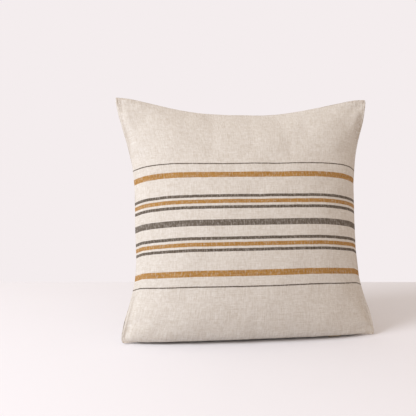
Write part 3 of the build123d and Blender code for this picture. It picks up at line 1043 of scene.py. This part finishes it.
def staple(name, node, material):
    """A pressed metal stop: a rounded block that grips the coil, pinched along its middle."""
    rings, sides, fit, squareness = 9, 24, 0.98, 0.84
    low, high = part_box(node)
    middle = (low + high) / 2
    made, faces = [], []
    blocks = [(low.y, high.y)]
    if node == "zipper_top_stops":
        blocks = [(low.y, SEAM_Y - 0.0005), (SEAM_Y + 0.0005, high.y)]
    for near, far in blocks:
        start = len(made)
        for x_share in np.linspace(-1, 1, rings):
            pinch = 1 - 0.16 * math.cos(x_share * math.pi / 2) ** 2
            end = 1 - 0.25 * abs(x_share) ** 6
            for a in np.linspace(0, 2 * math.pi, sides, endpoint=False):
                round_by = end * squareness / max(abs(math.cos(a)), abs(math.sin(a))) ** 0.75
                y = (near + far) / 2 + (far - near) / 2 * fit * math.cos(a) * round_by
                z = middle.z + (high.z - low.z) / 2 * pinch * math.sin(a) * round_by
                made.append((middle.x + (high.x - low.x) / 2 * fit * x_share, y, z))
        for i in range(rings - 1):
            for s in range(sides):
                a, b = start + i * sides + s, start + i * sides + (s + 1) % sides
                faces.append((a, a + sides, b + sides, b))
        last = start + (rings - 1) * sides
        faces.append(tuple(range(start, start + sides)))
        faces.append(tuple(range(last, last + sides))[::-1])
    place(new_object(name, made, faces, material), [node])


def zip_sewing(material):
    """The two rows of stitching that hold the tapes, and a bar tack at each end."""
    for name in ("zipper_stitching_front", "zipper_stitching_back"):
        low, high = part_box(name)
        y, z = (low.y + high.y) / 2, (low.z + high.z) / 2
        line = [(low.x, y, z), (high.x, y, z)]
        rows = tubes_object(name + "_row", lockstitches(line, (0, 0, 1)), 0.00014, material)
        place(rows, [name])
    low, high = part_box("zipper_bar_tacks")
    width, turns, lift = 0.0012, 22, 0.0001
    middle = (low.z + high.z) / 2
    paths = []
    for x in (low.x, high.x - width):
        path = []
        for k in range(turns):
            y = low.y + (high.y - low.y) * k / (turns - 1)
            path.append((x + width, y, middle + lift) if k % 2 else (x, y, middle - lift))
        paths.append(path)
    tacks = tubes_object("zipper_bar_tack_stitches", paths, 0.00015, material, sides=4)
    place(tacks, ["zipper_bar_tacks"])


def label(name, node, material):
    """A blank satin label, folded in two, its fold a little open."""
    low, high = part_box(node)
    steps, half_gap, fold = 28, 0.00022, 0.06
    middle = (low.z + high.z) / 2 + 0.0001
    reach = high.y - low.y
    across = np.linspace(low.x, high.x, 40)
    lines = []
    for t in np.linspace(-1, 1, steps):
        back = abs(t)
        y = high.y - reach * (back if back > fold else fold * (back / fold) ** 2)
        side = math.copysign(min(1, back / fold), t)
        curl = np.abs(0.00035 * np.sin((across - low.x) * 95) * (1 - back))
        lines.append(np.stack([across, np.full(len(across), y), middle + side * half_gap + curl], 1))
    points = np.array(lines).reshape(-1, 3)
    made = new_object(name, points, grid_faces(steps, len(across), False), material)
    place(made, [node])


# ======== Insert and fill ========

INSERT_SHAPE = {
    "outline": 0.0132, "inset": 0.0034, "cells": 72, "floor": 0.0024,
    "ripple": 0.0008, "lump": 0.0006, "most_inward": 0.05,
}
FILL_SHAPE = {
    "outline": 0.0152, "inset": 0.0090, "cells": 60, "floor": 0.0036,
    "ripple": 0.0008, "lump": 0.0022, "most_inward": 0.30,
}
INNER_CORNER = 0.012
INNER_GAP = 0.0004
HOLLOW_HALF = 0.182         # of the hollow's length over the zip
HOLLOW_SIDES = [0.016, 0.026]   # from the seam plane: where the hollow's roof ends and where its slope does
HOLLOW_HEIGHTS = [0.0098, 0.0024]


def above_zip(points, rise):
    """The hollow that the zip presses into whatever lies over it."""
    off = np.abs(points[..., 1] - SEAM_Y)
    along = np.clip((HOLLOW_HALF - np.abs(points[..., 0])) / 0.012, 0, 1)
    roof = np.interp(off, HOLLOW_SIDES, [HOLLOW_HEIGHTS[0] + rise, HOLLOW_HEIGHTS[1]])
    points[..., 2] = np.maximum(points[..., 2], roof * along)
    return points


def lumps(u, v, seed):
    """Uneven stuffing and gathers along the seams, as heights around 0."""
    draw = np.random.default_rng(seed)
    height = np.zeros_like(u)
    for k in range(7):
        a, b, turn = draw.uniform(0, 2 * math.pi, 3)
        length = 0.035 + 0.018 * k
        along = (u * math.cos(turn) / 2 + v * math.sin(turn)) * CUT
        height += np.sin(2 * math.pi * along / length + a + 1.5 * np.sin(2 * math.pi * v * 3 + b)) / 7
    for distance, along in ((CUT / 2 * (1 - np.abs(u)), v), (CUT * np.minimum(v, 1 - v), (u + 1) / 2)):
        gather = np.exp(-distance / 0.018) * (1 - np.exp(-distance / 0.002))
        height += 1.5 * gather * waves(along * CUT, 0.011, draw.uniform(0, 6, 4))
    return height


def inner_layer(side, seed, outline, inset, cells, floor, ripple, lump, most_inward):
    """One side of the insert or the fill. most_inward is a share of the room down to the seam plane."""
    columns = edge_dense(cells)
    rows = (edge_dense(cells) + 1) / 2
    radii = {corner: INNER_CORNER for corner in CORNER_RADII}
    points = panel_grid(columns, rows, side, outline, inset, INNER_GAP, radii)
    u, v = np.meshgrid(columns, rows, indexing="ij")
    edge = np.minimum(1 - np.abs(u), 2 * np.minimum(v, 1 - v)) * CUT / 2
    inward = np.minimum(0, lumps(u, v, seed) - 1) * (ripple + lump * np.clip(edge / 0.05, 0, 1))
    room = side * (points[..., 1] - SEAM_Y - points[..., 2] * math.tan(LEAN))
    inward = np.maximum(inward, -most_inward * np.maximum(0, room)) * np.clip(edge / 0.004, 0, 1)
    points = points + outward_of(points, side) * inward[..., None]
    points[..., 2] = np.maximum(points[..., 2], floor)
    return points


def insert_shells(material):
    """The insert's two cambric shells."""
    for name, side in (("insert_front", FRONT), ("insert_back", BACK)):
        points = above_zip(inner_layer(side, SEED + 20 + side, **INSERT_SHAPE), 0)
        faces = grid_faces(*points.shape[:2], side == BACK)
        shell = new_object(name + "_shell", points.reshape(-1, 3), faces, material)
        subdivide(shell)
        add_modifier(shell, "SOLIDIFY", thickness=0.0004, offset=-1)
        apply_modifiers(shell)
        place(shell, [name])


def fill_mass(material):
    """The loose fibre as one closed mass."""
    rise = 0.0014
    sides = [above_zip(inner_layer(side, SEED + 40 + side, **FILL_SHAPE), rise) for side in (FRONT, BACK)]
    count = sides[0].shape[0]
    points = np.concatenate([layer.reshape(-1, 3) for layer in sides])
    faces = grid_faces(count, count, False) + grid_faces(count, count, True, start=count * count)
    mass = new_object("fibre_mass", points, faces, material)
    add_modifier(mass, "WELD", merge_threshold=0.0012)
    subdivide(mass)
    apply_modifiers(mass)
    place(mass, ["fill"])


# ======== Stage ========

FLOOR_EDGE = 0.417
FLOOR_REACH = 4.0
FLOOR_LIGHT = colour(0.835, 0.835, 0.870)
FLOOR_DARK = colour(0.810, 0.810, 0.845)
KEY_AT = (-2.60, -1.25, 2.20)
KEY_SIZE = 1.3
KEY_POWER = 75.0
KEY_TINT = (0.965, 0.985, 1.05)
AMBIENT_LEFT = colour(0.93, 0.89, 0.87)
AMBIENT_RIGHT = colour(0.62, 0.480, 0.375)
BACKDROP = colour(0.905, 0.847, 0.855)


def stage():
    """A pale floor that ends behind the pillow, where the plain backdrop starts."""
    nodes = material_nodes("stage_floor")
    tint = nodes.mix(nodes.noise(nodes.place_on(), 3.0, 3.0), FLOOR_DARK, FLOOR_LIGHT)
    material = nodes.finish(Base_Color=tint, Roughness=0.85, Specular_IOR_Level=0.15)
    aside = Vector((CAMERA_AHEAD.y, -CAMERA_AHEAD.x, 0))
    near, far = -FLOOR_REACH * CAMERA_AHEAD, FLOOR_EDGE * CAMERA_AHEAD
    left, right = -FLOOR_REACH * aside, FLOOR_REACH * aside
    corners = [left + near, right + near, right + far, left + far]
    new_object("floor", corners, [(0, 1, 2, 3)], material, smooth=False)


def key_light():
    """One large soft light from the upper left."""
    data = bpy.data.lights.new("key", "AREA")
    data.shape = "DISK"
    data.size = KEY_SIZE
    data.energy = KEY_POWER
    data.color = KEY_TINT
    made = bpy.data.objects.new("key", data)
    made.location = KEY_AT
    to_pillow = Vector((0, SEAM_Y, 0.2)) - Vector(KEY_AT)
    made.rotation_euler = to_pillow.to_track_quat("-Z", "Y").to_euler()
    bpy.context.scene.collection.objects.link(made)


def ambient_light():
    """Soft light from all around, warmer and weaker from the right, behind a plain backdrop."""
    nodes = Nodes(bpy.data.worlds.new("backdrop"))
    way = nodes.add("ShaderNodeTexCoord").outputs["Generated"]
    right = nodes.add("ShaderNodeSeparateXYZ", {0: way}).outputs[0]
    ambient = nodes.mix(nodes.spread(right, -0.9, 0.9), AMBIENT_LEFT, AMBIENT_RIGHT)
    seen = nodes.add("ShaderNodeLightPath").outputs["Is Camera Ray"]
    bpy.context.scene.world = nodes.finish(Color=nodes.mix(seen, ambient, BACKDROP))
    bpy.context.scene.view_settings.view_transform = "Standard"


def camera():
    data = bpy.data.cameras.new("camera")
    data.lens = CAMERA_LENS
    made = bpy.data.objects.new("camera", data)
    made.location = Vector((CAMERA_ASIDE, SEAM_Y, CAMERA_HEIGHT)) - CAMERA_DISTANCE * CAMERA_AHEAD
    look = CAMERA_AHEAD * math.cos(CAMERA_PITCH) - Vector((0, 0, math.sin(CAMERA_PITCH)))
    made.rotation_euler = look.to_track_quat("-Z", "Y").to_euler()
    bpy.context.scene.collection.objects.link(made)
    bpy.context.scene.camera = made


# ======== Build ========

def build_cover(thread):
    """Both panels and the threads of their seams. Only they are simulated."""
    offsets = simulated_offsets()
    cloth = linen()
    for name, node, side in (("cover_front", "front_panel", FRONT), ("cover_back", "back_panel", BACK)):
        panel = place(cover_panel(name, side, offsets, cloth), [node])
    seam_threads(thread)


def build_zip(thread):
    """The zip's new pieces. Its slider and pull keep their CAD shape and get the brass."""
    brass = antique_brass()
    zip_tapes(woven_tape("zip_tape", colour(0.62, 0.54, 0.44), colour(0.47, 0.40, 0.31), "XY", 0.0008, 0.6))
    zip_coils(coil_nylon())
    zip_sewing(thread)
    staple("zipper_end_stops", "zipper_top_stops", brass)
    staple("zipper_start_stop", "zipper_bottom_stop", brass)
    for node in ("zipper_slider", "zipper_pull"):
        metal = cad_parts[node]
        metal.data.materials.clear()
        metal.data.materials.append(brass)


def build_inside():
    """The labels, the insert and its fill."""
    white = colour(0.86, 0.85, 0.82)
    satin = woven_tape("label_tape", white, colour(0.76, 0.75, 0.71), "XY", 0.0005, 0.35)
    cambric = woven_tape("insert_cloth", white, colour(0.74, 0.73, 0.70), "XZ", 0.0011, 0.75)
    label("care_label_folded", "care_label", satin)
    label("insert_label_folded", "insert_label", satin)
    insert_shells(cambric)
    insert_threads(spun("insert_thread", colour(0.86, 0.86, 0.83), colour(0.70, 0.70, 0.67)))
    fill_mass(fibre_fill())


thread = spun("thread", colour(0.66, 0.56, 0.44), colour(0.50, 0.41, 0.31))
build_cover(thread)
build_zip(thread)
build_inside()
stage()
key_light()
ambient_light()
camera()
